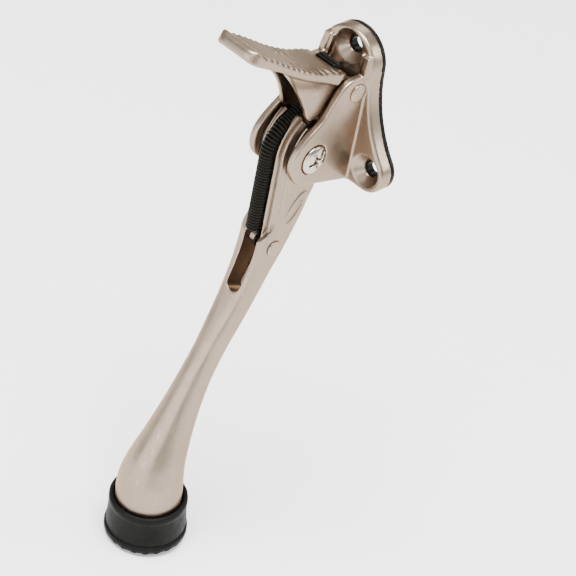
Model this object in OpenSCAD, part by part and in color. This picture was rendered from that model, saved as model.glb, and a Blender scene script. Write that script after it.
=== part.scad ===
// Kick-down door holder with a foot pedal.
// Row frame: the origin is on the door face, midway between the two lower screw holes.
// +X runs along the hinge pins, +Y points into the door, +Z is up.
// Shapes that turn or hang on the main pivot are drawn from the pivot, as (y, z) pairs.

/* [Bracket] */
// Thickness of the cast plate
plate_t = 4.4; // [3.6:0.2:5.2]
// Thickness of the rubber gasket behind the plate
gasket_t = 1.6; // [1:0.2:2]
// Distance between the two lower screw holes
screw_spacing = 32; // [30:1:34]
// Height of the top screw hole above the lower two
top_screw_h = 36; // [35:0.5:38]
// Diameter of the screw holes
screw_hole_d = 5.2; // [4.6:0.2:5.8]
// Diameter of the countersinks
countersink_d = 11; // [9:0.5:12]
// Radius of the plate's top lobe
top_lobe_r = 10.8; // [10.2:0.2:11.4]
// Radius of the plate's two lower lobes
low_lobe_r = 7; // [6.6:0.2:7.4]
// Clear width between the two ears
ear_gap = 14; // [14:0.2:15]
// Thickness of each ear
ear_t = 2.6; // [2.2:0.2:3.2]
// Radius of the rounded end of each ear
ear_r = 9.1; // [8.8:0.1:9.4]

/* [Hinge pins] */
// Distance of the arm's pivot from the door face
pivot_out = 23; // [23:0.5:25]
// Height of the arm's pivot above the lower screw holes
pivot_up = 6.4; // [6:0.2:7]
// Diameter of the barrel that the arm turns on
barrel_d = 6; // [5.6:0.2:6.4]
// Diameter of the screw and nut heads on the arm's pivot
head_d = 9.4; // [8.6:0.2:10]
// Diameter of the pedal's pin
pedal_pin_d = 4; // [3.6:0.2:4.2]
// Running clearance of a pin in its bore, measured on the radius
running_fit = 0.05; // [0.02:0.01:0.08]

/* [Arm] */
// Width of the arm across its flat cheeks
arm_w = 11.8; // [11:0.2:11.8]
// Radius of the arm's head at its front
head_r = 9.0; // [8.6:0.1:9.2]
// Radius of the nose on top of the arm's head
nose_r = 12.1; // [11.6:0.1:12.2]
// Width of the slot that holds the lower end of the lift spring
slot_w = 5.4; // [5:0.2:6.4]
// Diameter of the pin across the slot
spring_pin_d = 4; // [3.4:0.2:4.2]

/* [Rubber foot] */
// Lean of the foot's axis towards the door, in degrees
foot_tilt = -3.7; // [-6:0.1:0]
// Radius of the cup's rim
rim_r = 12.6; // [12.2:0.1:13]
// Radius of the flange at the sole
flange_r = 13.6; // [13.2:0.1:14.4]
// Height of the rim above the sole
foot_h = 15.4; // [15:0.1:16.4]

/* [Pedal] */
// Half the width of the tread
tread_half_w = 8.2; // [7.6:0.1:8.6]
// Length from the pedal's pin to the tread's tip
tread_len = 53.5; // [48:0.5:56]
// Slope of the tread, in degrees
tread_slope = 27; // [25:0.5:29]
// Distance between two ridges of the tread
ridge_pitch = 2.85; // [2.5:0.05:3.2]

/* [Springs] */
// Outer diameter of the lift spring
lift_spring_d = 4.3; // [3.8:0.1:4.4]
// Diameter of the lift spring's wire
lift_wire_d = 0.9; // [0.7:0.1:1]
// Diameter of the pedal spring's wire
pedal_wire_d = 0.6; // [0.5:0.1:0.7]

/* [Hidden] */
$fn = 64;

plate_front = -gasket_t - plate_t;         // row y of the plate's front face
front = pivot_out + plate_front;           // the same face, measured from the pivot
ear_in = ear_gap / 2;
ear_out = ear_in + ear_t;
pedal_pin_at = [13.8, 19.3];
lower_pin_at = [-5.9, -33.3];
sole_at = [-35, -139.7];                   // middle of the rubber foot's sole
spring_arc_r = 10.4;                       // radius of the lift spring's path round the pivot
spring_foot_z = -27;
foot_floor = 4.2;                          // thickness of the foot's sole
spigot_r = 10.95;                          // radius of the arm's end inside the foot
nickel = [0.76, 0.70, 0.65];
steel = [0.80, 0.79, 0.76];
rubber = [0.10, 0.10, 0.10];
spring_black = [0.07, 0.08, 0.07];

// ---------- small helpers ----------
function arc(c, r, a0, a1, n) = [for (i = [0 : n]) let (a = a0 + (a1 - a0) * i / n)
    [c[0] + r * cos(a), c[1] + r * sin(a)]];
function bezier(p, n) = [for (i = [0 : n]) let (t = i / n, s = 1 - t)
    s * s * s * p[0] + 3 * s * s * t * p[1] + 3 * s * t * t * p[2] + t * t * t * p[3]];
function mirrored(pts) = [for (i = [len(pts) - 1 : -1 : 0]) [-pts[i][0], pts[i][1]]];
// Angle at which a line from point p touches a circle of radius r about the origin
function touch_angle(p, r) = atan2(p[1], p[0]) - acos(r / norm(p));

module at_pivot() { translate([0, -pivot_out, pivot_up]) children(); }
// Extrudes a (y, z) outline along X, from x0 to x1
module across(x0, x1) { translate([x0, 0, 0]) rotate([90, 0, 90]) linear_extrude(x1 - x0) children(); }
// A rod along X about the point p = (y, z)
module rod_x(p, r, x0, x1) { translate([x0, p[0], p[1]]) rotate([0, 90, 0]) cylinder(r = r, h = x1 - x0); }
// A straight wire between two points
module wire(a, b, r) {
    d = b - a;
    translate(a) rotate([0, acos(d[2] / norm(d)), atan2(d[1], d[0])]) cylinder(r = r, h = norm(d), $fn = 24);
}

// ---------- bracket ----------
waist_r = 42;                              // radius of the plate's hollow sides
lobe_x = screw_spacing / 2;
top_lobe_h = top_screw_h - 4.6;
lobe_gap = norm([lobe_x, top_lobe_h]);
waist_s = (pow(top_lobe_r + waist_r, 2) - pow(low_lobe_r + waist_r, 2) + lobe_gap * lobe_gap)
        / (2 * lobe_gap);
waist_h = sqrt(pow(top_lobe_r + waist_r, 2) - waist_s * waist_s);
waist_at = [(lobe_x * waist_s + top_lobe_h * waist_h) / lobe_gap,
            top_lobe_h + (-top_lobe_h * waist_s + lobe_x * waist_h) / lobe_gap];
top_touch = atan2(waist_at[1] - top_lobe_h, waist_at[0]);
low_touch = atan2(waist_at[1], waist_at[0] - lobe_x);

function plate_side() = concat(
    arc([lobe_x, 0], low_lobe_r, -90, low_touch, 18),
    arc(waist_at, waist_r, 180 + low_touch, 180 + top_touch, 14),
    arc([0, top_lobe_h], top_lobe_r, top_touch, 90, 14));

module plate_outline() { polygon(concat(plate_side(), mirrored(plate_side()))); }

module screw_holes(depth) {
    for (p = [[-lobe_x, 0], [lobe_x, 0], [0, top_screw_h]])
        translate([p[0], 1, p[1]]) rotate([90, 0, 0]) cylinder(d = screw_hole_d, h = depth + 2);
}

module countersinks() {
    depth = (countersink_d - screw_hole_d) / 2;
    for (p = [[-lobe_x, 0], [lobe_x, 0], [0, top_screw_h]])
        translate([p[0], plate_front + depth, p[1]]) rotate([90, 0, 0]) {
            cylinder(d1 = screw_hole_d, d2 = countersink_d, h = depth);
            translate([0, 0, depth - 0.001]) cylinder(d = countersink_d, h = 1);
        }
}

// One ear, seen from the side, with the low ridge that runs on up the plate
ear_root = [front, -13.1];
function ear_outline() = concat(
    [[front + 0.6, -13.1], ear_root],
    arc([0, 0], ear_r, touch_angle(ear_root, ear_r), -220, 24),
    bezier([[-7.0, 5.9], [-3.1, 10.4], [0.9, 11.8], [2.4, 14.6]], 8),
    bezier([[2.4, 14.6], [5.5, 20.3], [7.1, 24.6], [12.3, 24.6]], 10),
    [[front - 2, 24.6], [front - 2, 28.6], [front - 1.4, 29.2], [front + 0.6, 29.2]]);

module base_bracket() {
    color(nickel) difference() {
        union() {
            translate([0, -gasket_t, 0]) rotate([90, 0, 0]) linear_extrude(plate_t) plate_outline();
            at_pivot() {
                across(ear_in, ear_out) polygon(ear_outline());
                across(-ear_out, -ear_in) polygon(ear_outline());
            }
        }
        screw_holes(-plate_front);
        countersinks();
        at_pivot() {
            rod_x([0, 0], barrel_d / 2 + running_fit, -20, 20);
            rod_x(pedal_pin_at, pedal_pin_d / 2 + running_fit, -20, 20);
        }
    }
}

module mounting_gasket() {
    color(rubber) difference() {
        rotate([90, 0, 0]) linear_extrude(gasket_t) plate_outline();
        screw_holes(gasket_t);
    }
}

// ---------- pins and fasteners ----------
nut_bore_r = 2.5;
nut_bore_len = 14;

module pivot_barrel_nut() {
    color(steel) at_pivot() difference() {
        union() {
            rod_x([0, 0], head_d / 2, -ear_out - 1.8, -ear_out);
            rod_x([0, 0], barrel_d / 2, -ear_out - 1, ear_out - 0.6);
        }
        rod_x([0, 0], nut_bore_r, ear_out - nut_bore_len, ear_out);
        translate([-ear_out - 2, -head_d, -0.6]) cube([1.1, 2 * head_d, 1.2]);
    }
}

module pan_head_profile() {
    polygon(concat([[0, 0], [head_d / 2, 0], [head_d / 2, 0.8]],
                   bezier([[head_d / 2, 0.8], [head_d / 2 - 0.3, 1.9], [head_d / 4, 2.4], [0, 2.4]], 8)));
}

module pivot_screw() {
    color(steel) at_pivot() difference() {
        union() {
            translate([ear_out, 0, 0]) rotate([0, 90, 0]) rotate_extrude() pan_head_profile();
            rod_x([0, 0], nut_bore_r - running_fit, ear_out - 10, ear_out + 0.4);
        }
        for (a = [20, 110])
            translate([ear_out + 1.3, 0, 0]) rotate([a, 0, 0]) translate([0, -2.4, -0.45]) cube([2, 4.8, 0.9]);
    }
}

module friction_washers() {
    clear = 0.05;
    color([0.30, 0.29, 0.27]) at_pivot() for (s = [-1, 1]) difference() {
        rod_x([0, 0], 6.2, s * (arm_w / 2 + ear_in) / 2 - (ear_in - arm_w / 2) / 2 + clear,
              s * (arm_w / 2 + ear_in) / 2 + (ear_in - arm_w / 2) / 2 - clear);
        rod_x([0, 0], barrel_d / 2 + running_fit, -20, 20);
    }
}

module pedal_pin() {
    rivet_r = 3.1;
    color(nickel) at_pivot() {
        rod_x(pedal_pin_at, pedal_pin_d / 2, -ear_out - 0.6, ear_out + 0.6);
        for (x = [-ear_out - 0.6, ear_out]) rod_x(pedal_pin_at, rivet_r, x, x + 0.6);
    }
}

// ---------- arm ----------
// Stations down the arm: y and z of the middle, half width, half depth, squareness
arm_stations = [
    [0.4, -6, 5.8, 8.7, 6],
    [-0.1, -13, 5.8, 8.7, 6],
    [-1.4, -20, 5.8, 8.0, 6],
    [-3.4, -27.5, 5.9, 7.0, 5],
    [-5.6, -35.5, 5.9, 5.4, 4.2],
    [-8.4, -43.5, 5.6, 4.6, 3.3],
    [-12.4, -54, 5.2, 4.5, 2.5],
    [-16.4, -63, 4.8, 4.7, 2.1],
    [-20.1, -71, 4.6, 4.6, 2],
    [-24.3, -80, 4.95, 4.95, 2],
    [-28.3, -90, 5.9, 5.9, 2],
    [-32.2, -100.5, 7.4, 7.4, 2],
    [-35.1, -109, 9.1, 9.1, 2],
    [-36.3, -116, 10.4, 10.4, 2],
    [-36.2, -122.5, 10.85, 10.85, 2],
    [-36, -127, 10.7, 10.7, 2]];
steps_per_station = 3;

function clamp_at(i) = arm_stations[max(0, min(len(arm_stations) - 1, i))];
function spline(a, b, c, d, t) = 0.5 * (2 * b + (c - a) * t + (2 * a - 5 * b + 4 * c - d) * t * t
    + (3 * b - a - 3 * c + d) * t * t * t);
function arm_at(i, t) = spline(clamp_at(i - 1), clamp_at(i), clamp_at(i + 1), clamp_at(i + 2), t);
arm_rings = [for (i = [0 : len(arm_stations) - 2]) for (k = [0 : steps_per_station - 1])
    arm_at(i, k / steps_per_station), arm_stations[len(arm_stations) - 1]];
// Angle from straight down of the arm's middle line at ring i
function lean(i) = let (a = arm_rings[max(0, i - 1)], b = arm_rings[min(len(arm_rings) - 1, i + 1)])
    atan2(a[0] - b[0], a[1] - b[1]);
function signed_pow(v, e) = sign(v) * pow(abs(v), e);
function arm_ring(i, n) = let (s = arm_rings[i], q = lean(i)) [for (k = [0 : n - 1])
    let (a = 360 * k / n, v = s[3] * signed_pow(sin(a), 2 / s[4]))
    [s[2] * signed_pow(cos(a), 2 / s[4]), s[0] + v * cos(q), s[1] - v * sin(q)]];

module arm_skin() {
    n = 32;
    last = len(arm_rings) - 1;
    points = [for (i = [0 : last]) for (p = arm_ring(i, n)) p];
    sides = [for (i = [0 : last - 1]) for (k = [0 : n - 1]) let (j = (k + 1) % n)
        [i * n + k, i * n + j, (i + 1) * n + j, (i + 1) * n + k]];
    ends = [[for (k = [n - 1 : -1 : 0]) k], [for (k = [0 : n - 1]) last * n + k]];
    polyhedron(points, concat(sides, ends));
}

// The arm's head from the side: a disc whose front climbs to the nose on top, and the rails below
nose_a = 102;
rail_y = -8.5;
function head_outline() = concat(
    [for (a = [180 : -6 : nose_a]) let (s = max(0, (160 - a) / (160 - nose_a)))
        (head_r + (nose_r - head_r) * pow(s, 1.8)) * [cos(a), sin(a)]],
    [10.6 * [cos(nose_a - 6), sin(nose_a - 6)]],
    arc([0, 0], head_r, 84, -28, 24),
    [[7.0, -14.4], [4.6, -19.9], [1.4, -24.8], [-4, -25.4], [rail_y, -24.6], [rail_y, -7]]);

// What is cut away in front of the arm, so that the spring lies proud of its rails
module front_cut() {
    translate([0, rail_y, 0]) rotate([90, 0, 0]) linear_extrude(12)
        polygon([[-10, 1], [-10, -24.7], [-5.9, -24.7], [-2.3, -29.6], [2.3, -29.6], [5.9, -24.7],
            [10, -24.7], [10, 1]]);
}

// The bevels along both front edges of the arm's rails
module rail_bevels() {
    for (s = [0, 1]) mirror([s, 0, 0]) translate([0, 0, -24.6]) linear_extrude(21)
        polygon([[4.5, rail_y - 1.5], [4.5, rail_y], [5.5, -7.2], [6.1, -5.6], [8, rail_y - 1.5]]);
}

module foot_axis() { translate([0, sole_at[0], sole_at[1]]) rotate([-foot_tilt, 0, 0]) children(); }

slot_lean = 24;                            // the slot's floor follows the arm's back
slot_back = [-3.3, -37];                   // a point on the slot's floor
slot_low = -13.5;
slot_high = 8;

module swing_arm() {
    groove_r = lift_spring_d / 2 + 0.4;
    color(nickel) at_pivot() difference() {
        union() {
            difference() {
                arm_skin();
                front_cut();
            }
            across(-arm_w / 2, arm_w / 2) polygon(head_outline());
            foot_axis() translate([0, 0, foot_floor]) cylinder(r = spigot_r, h = foot_h - foot_floor - 1.4);
        }
        rail_bevels();
        rod_x([0, 0], barrel_d / 2 + running_fit, -10, 10);
        rod_x(lower_pin_at, spring_pin_d / 2 + 0.02, -10, 10);
        // groove for the spring, round the head and down the front
        rotate([90, 0, 90]) rotate([0, 0, spring_top_a - 2]) rotate_extrude(angle = 184 - spring_top_a)
            translate([spring_arc_r, 0]) circle(r = groove_r, $fn = 48);
        translate([0, -spring_arc_r, spring_foot_z - 1]) cylinder(r = groove_r + 0.05, h = 1 - spring_foot_z);
        wire([0, spring_top[0], spring_top[1]],
             [0, spring_top[0] + 12 * to_pin[0], spring_top[1] + 12 * to_pin[1]], groove_r + 0.05);
        // slot for the spring's lower end
        translate([0, slot_back[0], slot_back[1]]) rotate([-slot_lean, 0, 0]) {
            translate([-slot_w / 2, -20, slot_low]) cube([slot_w, 20, slot_high - slot_low]);
            translate([0, 0, slot_low]) rotate([90, 0, 0]) cylinder(d = slot_w, h = 20);
        }
    }
}

module spring_pin() {
    rivet_r = 2.7;
    color(nickel) at_pivot() {
        rod_x(lower_pin_at, spring_pin_d / 2, -6.3, 6.3);
        for (x = [-6.5, 6.1]) rod_x(lower_pin_at, rivet_r, x, x + 0.4);
    }
}

module rubber_foot() {
    color(rubber) at_pivot() foot_axis() difference() {
        rotate_extrude() polygon([[0, 0], [flange_r - 0.8, 0], [flange_r, 0.8], [flange_r, 2.6],
            [flange_r - 0.4, 3.4], [12.9, 3.6], [12.9, 4.2], [12.5, 9], [rim_r, foot_h - 3],
            [rim_r, foot_h - 0.6], [rim_r - 0.6, foot_h], [0, foot_h]]);
        translate([0, 0, foot_floor]) cylinder(r = spigot_r + 0.3, h = foot_h);
    }
}

// ---------- pedal ----------
// The pedal is drawn in its own (u, n) axes: u runs out along the tread from the pin, n is square to it
module at_pedal() {
    at_pivot() translate([0, pedal_pin_at[0], pedal_pin_at[1]]) rotate([180 - tread_slope, 0, 0])
        mirror([0, 0, 1]) children();
}
tread_rear = 4.6;
tread_wide_from = 8.4;
web_out = 5.6;
web_in = 3.9;
hub_r = 2.8;
hub_out = 6.7;
ridge_from = 30;
ridge_depth = 0.5;
window = [3.4, 9.9];                       // the notch for the rubber buffer, along u

// The tread dips between its ridged front and the hump at its rear
tread_top = [[8, 3.9], [12.5, 3.9], [15, 3.4], [17.5, 2.85], [20, 2.45], [25, 2.15], [30, 2.25],
             [35, 2.6], [40, 2.9], [46, 3.05], [tread_len, 3.0]];
function ridge(u) = let (h = lookup(u + ridge_pitch / 2, tread_top))
    [[u + 0.3, h - ridge_depth], [u + 0.9, h], [u + ridge_pitch - 0.6, h],
     [u + ridge_pitch, h - ridge_depth]];
function tread_profile() = concat(
    [[tread_rear, 1.0], [tread_rear, 3.0]],
    [for (p = tread_top) if (p[0] < ridge_from) p],
    [for (u = [ridge_from : ridge_pitch : tread_len - 5.5]) each ridge(u)],
    bezier([[tread_len - 1.8, 2.9], [tread_len, 2.9], [tread_len, 0.1], [tread_len - 2, 0.1]], 6),
    [[46, 0.1], [40, 0.0], [33, -0.4], [26, -0.6], [20, -0.4], [14, -0.1],
     [tread_wide_from, 0.1], [tread_wide_from - 1.4, 1.0]]);

// Side web: a concave front edge, a blunt tip over the arm's head, and a hub round the pin
function web_profile() = concat(
    [[38, 1.2]],
    bezier([[36.6, 0.6], [31.0, -0.4], [23.0, -4.3], [18.0, -7.9]], 8),
    bezier([[15.0, -10.2], [13.2, -11.8], [12.9, -12.8], [11.3, -12.8]], 5),
    [[9.5, -11.4], [6.5, -7.9]],
    arc([0, 0], hub_r - 0.3, -60, -260, 20),
    [[3.2, 2.4], [tread_rear, 2.6]]);

module tread_plan() {
    corner = 3.4;
    neck = 6.6;                            // half width between the ears
    polygon(concat([[tread_rear, -neck], [tread_wide_from, -neck], [tread_wide_from, -tread_half_w]],
        arc([tread_len - corner, -tread_half_w + corner], corner, -90, 0, 6),
        arc([tread_len - corner, tread_half_w - corner], corner, 0, 90, 6),
        [[tread_wide_from, tread_half_w], [tread_wide_from, neck], [tread_rear, neck]]));
}

module release_pedal() {
    color(nickel) at_pedal() difference() {
        union() {
            intersection() {
                across(-tread_half_w, tread_half_w) polygon(tread_profile());
                translate([0, 0, -2]) rotate([0, 0, 90]) mirror([0, 1, 0]) linear_extrude(8) tread_plan();
            }
            across(web_in, web_out) polygon(web_profile());
            across(-web_out, -web_in) polygon(web_profile());
            rod_x([0, 0], hub_r, web_in - 0.2, hub_out);
            rod_x([0, 0], hub_r, -hub_out, 0.2 - web_in);
        }
        rod_x([0, 0], pedal_pin_d / 2 + running_fit, -10, 10);
        translate([-4.05, window[0], -2]) cube([8.1, window[1] - window[0], 8]);
    }
}

module pedal_buffer() {
    r = 2.2;
    color(rubber) at_pedal() rod_x([window[1] - r, 3.6], r, -4, 4);
}

// ---------- springs ----------
spring_top_a = 117;                        // where the spring leaves its arc round the pivot
spring_top = spring_arc_r * [cos(spring_top_a), sin(spring_top_a)];
to_pin = (pedal_pin_at - spring_top) / norm(pedal_pin_at - spring_top);

module hook_ring(p, r, x) {
    translate([x, p[0], p[1]]) rotate([0, 90, 0]) rotate_extrude() translate([r, 0])
        circle(d = lift_wire_d, $fn = 16);
}

module lift_spring() {
    r = lift_spring_d / 2;
    coil_end = spring_top + 12.5 * to_pin;
    lower_ring_r = spring_pin_d / 2 + lift_wire_d / 2 + 0.1;
    upper_ring_r = pedal_pin_d / 2 + lift_wire_d / 2 + 0.1;
    color(spring_black) at_pivot() {
        translate([0, -spring_arc_r, spring_foot_z]) cylinder(r = r, h = -spring_foot_z, $fn = 32);
        rotate([90, 0, 90]) rotate([0, 0, spring_top_a]) rotate_extrude(angle = 180 - spring_top_a)
            translate([spring_arc_r, 0]) circle(r = r, $fn = 32);
        wire([0, spring_top[0], spring_top[1]], [0, coil_end[0], coil_end[1]], r);
        wire([0, coil_end[0], coil_end[1]],
             [0, pedal_pin_at[0] - upper_ring_r * to_pin[0], pedal_pin_at[1] - upper_ring_r * to_pin[1]],
             lift_wire_d / 2);
        wire([0, -spring_arc_r, spring_foot_z + 0.5],
             [0, lower_pin_at[0] - lower_ring_r * 0.8, lower_pin_at[1] + lower_ring_r * 0.6], lift_wire_d / 2);
        hook_ring(lower_pin_at, lower_ring_r, 0);
        hook_ring(pedal_pin_at, upper_ring_r, 0);
    }
}

module pedal_return_spring() {
    x0 = -3.6;
    x1 = -1.8;
    r = pedal_wire_d / 2;
    coil_r = pedal_pin_d / 2 + 0.2 + r;
    color(spring_black) at_pivot() {
        difference() {
            rod_x(pedal_pin_at, coil_r + r, x0, x1);
            rod_x(pedal_pin_at, coil_r - r, x0 - 1, x1 + 1);
        }
        wire([x0 + 0.5, pedal_pin_at[0] + coil_r, pedal_pin_at[1]],
             [x0 + 0.5, pedal_pin_at[0] + coil_r, pedal_pin_at[1] - 9], 0.7 * r);
        wire([x1 - 0.5, pedal_pin_at[0], pedal_pin_at[1] - coil_r],
             [x1 - 0.5, pedal_pin_at[0] - 8.4, pedal_pin_at[1] - coil_r + 4.2], 0.7 * r);
    }
}

base_bracket();
mounting_gasket();
pivot_screw();
pivot_barrel_nut();
friction_washers();
pedal_pin();
swing_arm();
spring_pin();
rubber_foot();
release_pedal();
pedal_buffer();
lift_spring();
pedal_return_spring();
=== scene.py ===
"""Visual model of a kick-down door holder with a foot pedal.

Shapes are built in millimetres as fields of signed distance (negative inside), which are turned
into quad meshes, or as swept and turned meshes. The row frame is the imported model's own: +X along
the hinge pins, +Y into the door, +Z up. Most shapes are drawn from the arm's pivot.
"""
import math

import bpy
import numpy as np
from mathutils import Matrix, Vector


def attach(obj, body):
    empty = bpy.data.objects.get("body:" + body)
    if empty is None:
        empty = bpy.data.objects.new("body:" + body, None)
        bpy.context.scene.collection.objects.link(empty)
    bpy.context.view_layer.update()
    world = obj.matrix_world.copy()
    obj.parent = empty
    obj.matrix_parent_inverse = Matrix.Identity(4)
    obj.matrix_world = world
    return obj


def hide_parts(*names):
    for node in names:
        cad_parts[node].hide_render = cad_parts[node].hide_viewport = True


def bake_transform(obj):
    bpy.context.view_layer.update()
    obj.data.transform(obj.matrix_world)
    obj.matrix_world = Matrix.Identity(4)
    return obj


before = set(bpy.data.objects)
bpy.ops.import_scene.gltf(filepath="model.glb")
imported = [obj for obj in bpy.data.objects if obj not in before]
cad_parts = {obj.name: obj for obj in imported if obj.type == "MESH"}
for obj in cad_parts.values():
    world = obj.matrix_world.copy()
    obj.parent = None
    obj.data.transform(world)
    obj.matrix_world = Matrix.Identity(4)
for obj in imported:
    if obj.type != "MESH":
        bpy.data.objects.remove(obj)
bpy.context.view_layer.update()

MM = 0.001
PIVOT = np.array([0.0, -23.0, 6.4])           # the arm's pivot in the row frame

# ---------------------------------------------------------------- sizes, in millimetres
GASKET_T = 1.6
PLATE_T = 4.4
PLATE_FRONT = -GASKET_T - PLATE_T
FRONT = PLATE_FRONT - PIVOT[1]                # the plate's front face, seen from the pivot
LOBE_X = 16.0
LOW_LOBE_R = 7.0
TOP_LOBE_Z = 31.4
TOP_LOBE_R = 10.8
WAIST_R = 42.0
TOP_HOLE_Z = 36.0
HOLE_R = 2.6
SCREW_HOLES = ((LOBE_X, 0.0), (0.0, TOP_HOLE_Z))   # (x, z) on one side
COUNTERSINK_R = 5.5
EAR_IN = 7.0
EAR_OUT = 9.6
EAR_R = 9.1
BARREL_R = 3.0
HEAD_R = 4.7
HEAD_FOOT = -0.5                              # the screw's and nut's heads, from the ear's outside
HEAD_TOP = 1.5
PEDAL_PIN = (13.8, 19.3)
PEDAL_PIN_R = 2.0
HUB_R = 2.8                                   # the pedal's hub round its pin
LOWER_PIN = (-5.9, -33.3)
LOWER_PIN_R = 2.0
ARM_HALF_W = 5.9
SPRING_R = 2.45
CHANNEL_R = 2.65
SPRING_ARC_R = 10.4
SPRING_TOP_DEG = 117.0
SPRING_FOOT_Z = -27.0
TREAD_SLOPE = math.radians(27.0)
PEDAL_TURN = math.radians(6.0)                # how far the tread can be pressed
TREAD_HALF_W = 8.2
TREAD_LEN = 53.5
FOOT_TILT = math.radians(3.7)
FOOT_SOLE = (-35.0, -139.7)
FLOOR_Z = -134.6                              # in the row frame
RIDGE_PITCH = 2.85                            # of the tread's ridges
RIDGE_DEPTH = 0.65

# Grid steps of the fields, and the radii of their edges and fillets
STEP = 0.3
FINE_STEP = 0.2
CRISP = 0.1
DRILLED = 0.15
MOULDED = 0.25
CAST = 0.35
PLAY = 0.05                                   # between a pin and its hole


# ---------------------------------------------------------------- outlines
def arc(centre, radius, start, end, count):
    """Points on an arc, in degrees."""
    turns = np.radians(np.linspace(start, end, count + 1))
    return [(centre[0] + radius * math.cos(t), centre[1] + radius * math.sin(t)) for t in turns]


def bezier(p, count):
    """Points on a cubic curve."""
    p = np.array(p, float)
    out = []
    for t in np.linspace(0, 1, count + 1):
        s = 1 - t
        out.append(tuple(s**3 * p[0] + 3 * s * s * t * p[1] + 3 * s * t * t * p[2] + t**3 * p[3]))
    return out


def plate_outline():
    """The plate: two small lobes below and one large one above, joined by hollow sides."""
    gap = math.hypot(LOBE_X, TOP_LOBE_Z)
    high, low = TOP_LOBE_R + WAIST_R, LOW_LOBE_R + WAIST_R
    along = (high**2 - low**2 + gap**2) / (2 * gap)
    off = math.sqrt(high**2 - along**2)
    centre = ((LOBE_X * along + TOP_LOBE_Z * off) / gap,
              TOP_LOBE_Z + (-TOP_LOBE_Z * along + LOBE_X * off) / gap)
    top = math.degrees(math.atan2(centre[1] - TOP_LOBE_Z, centre[0]))
    bottom = math.degrees(math.atan2(centre[1], centre[0] - LOBE_X))
    side = (arc((LOBE_X, 0), LOW_LOBE_R, -90, bottom, 28)
            + arc(centre, WAIST_R, 180 + bottom, 180 + top, 24)[1:]
            + arc((0, TOP_LOBE_Z), TOP_LOBE_R, top, 90, 24)[1:])
    return side + [(-x, z) for x, z in reversed(side)][1:]


def ear_outline():
    """One ear from the side, as (y, z) from the pivot."""
    root = (FRONT, -13.1)
    touch = math.degrees(math.atan2(root[1], root[0]) - math.acos(EAR_R / math.hypot(*root)))
    return ([(FRONT + 2, -13.1), root] + arc((0, 0), EAR_R, touch, -220, 48)
            + bezier([(-7.0, 5.9), (-3.1, 10.4), (0.9, 11.8), (2.4, 14.6)], 16)[1:]
            + bezier([(2.4, 14.6), (5.5, 20.3), (7.1, 24.6), (12.3, 24.6)], 20)[1:]
            + [(FRONT + 2, 24.6)])


def head_outline():
    """The arm's head and rails from the side: a disc that climbs to a nose on top."""
    turns = through([(180, 9.3), (160, 9.4), (140, 10.1), (125, 11.0), (112, 12.1), (104, 12.8), (98, 13.0),
                     (92, 12.8), (85, 12.3), (65, 11.0), (50, 9.9), (38, 9.0), (-28, 9.0)], 6)
    head = [(r * math.cos(math.radians(a)), r * math.sin(math.radians(a))) for a, r in turns]
    return head + [(7.0, -14.4), (4.6, -19.9), (1.4, -24.8), (-2, -27.5), (-9.3, -31), (-9.3, -7)]


def through(stations, steps):
    """A smooth curve through the given rows (Catmull-Rom)."""
    s = np.array(stations, float)
    padded = np.vstack([s[0], s, s[-1]])
    rows = []
    for i in range(len(s) - 1):
        a, b, c, d = padded[i:i + 4]
        for t in np.linspace(0, 1, steps, endpoint=False):
            rows.append(0.5 * (2 * b + (c - a) * t + (2 * a - 5 * b + 4 * c - d) * t * t
                               + (3 * b - a - 3 * c + d) * t**3))
    return np.array(rows + [s[-1]])


# The tread's top and underside, as (u, n): u runs out from the pin, n is square to the tread
TREAD_TOP = through([(4.6, 3.2), (5.4, 3.9), (7, 4.15), (9.5, 4.15), (12.5, 3.9), (15, 3.4), (17.5, 2.85),
                     (20, 2.45), (25, 2.15), (30, 2.25), (35, 2.6), (40, 2.9), (45, 3.1), (48.2, 3.05),
                     (49.2, 2.95), (50.2, 3.4), (51.2, 3.5)], 6)
TREAD_UNDER = through([(51.4, -0.55), (46, -0.45), (40, -0.4), (33, -0.5), (26, -0.6), (20, -0.4), (14, -0.1),
                       (9, 0.1), (7, 1.0), (4.6, 1.0)], 4)


def tread_profile():
    """The tread from the side, as (u, n)."""
    nose = bezier([(51.2, 3.5), (54.3, 3.4), (54.3, -0.45), (51.4, -0.55)], 20)
    return [tuple(p) for p in TREAD_TOP] + nose[1:-1] + [tuple(p) for p in TREAD_UNDER]


def tread_plan():
    """The tread from above, as (u, x)."""
    corner = 4.4
    side = ([(4.6, 6.6), (7.8, 6.6), (9.0, 8.2)]
            + arc((TREAD_LEN - corner, TREAD_HALF_W - corner), corner, 90, 0, 28))
    return side + [(u, -x) for u, x in reversed(side)]


def web_profile():
    """A side web of the pedal, as (u, n)."""
    return ([(40.5, 1.2)] + bezier([(39.5, 0.5), (34.5, 0.2), (25.0, -3.6), (18.0, -7.9)], 16)
            + bezier([(14.6, -10.4), (12.6, -12.2), (11.9, -13.25), (10.3, -13.25)], 10)
            + [(8.7, -11.9), (6.3, -7.9)] + arc((0, 0), HUB_R, -60, -260, 24) + [(3.2, 2.4), (4.6, 2.6)])


# ---------------------------------------------------------------- distance fields
def outline_distance(points, a, b):
    """Signed distance from a closed outline over a sheet of points (a, b)."""
    a, b = np.broadcast_arrays(np.asarray(a, float), np.asarray(b, float))
    near = np.full(a.shape, 1e9)
    inside = np.zeros(a.shape, bool)
    for (a0, b0), (a1, b1) in zip(points, points[1:] + points[:1]):
        da, db = a1 - a0, b1 - b0
        length = da * da + db * db
        if length < 1e-12:
            continue
        t = np.clip(((a - a0) * da + (b - b0) * db) / length, 0, 1)
        near = np.minimum(near, (a - a0 - da * t) ** 2 + (b - b0 - db * t) ** 2)
        if db:
            inside ^= ((b0 > b) != (b1 > b)) & (a < a0 + (b - b0) * da / db)
    return np.where(inside, -1, 1) * np.sqrt(near)


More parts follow.
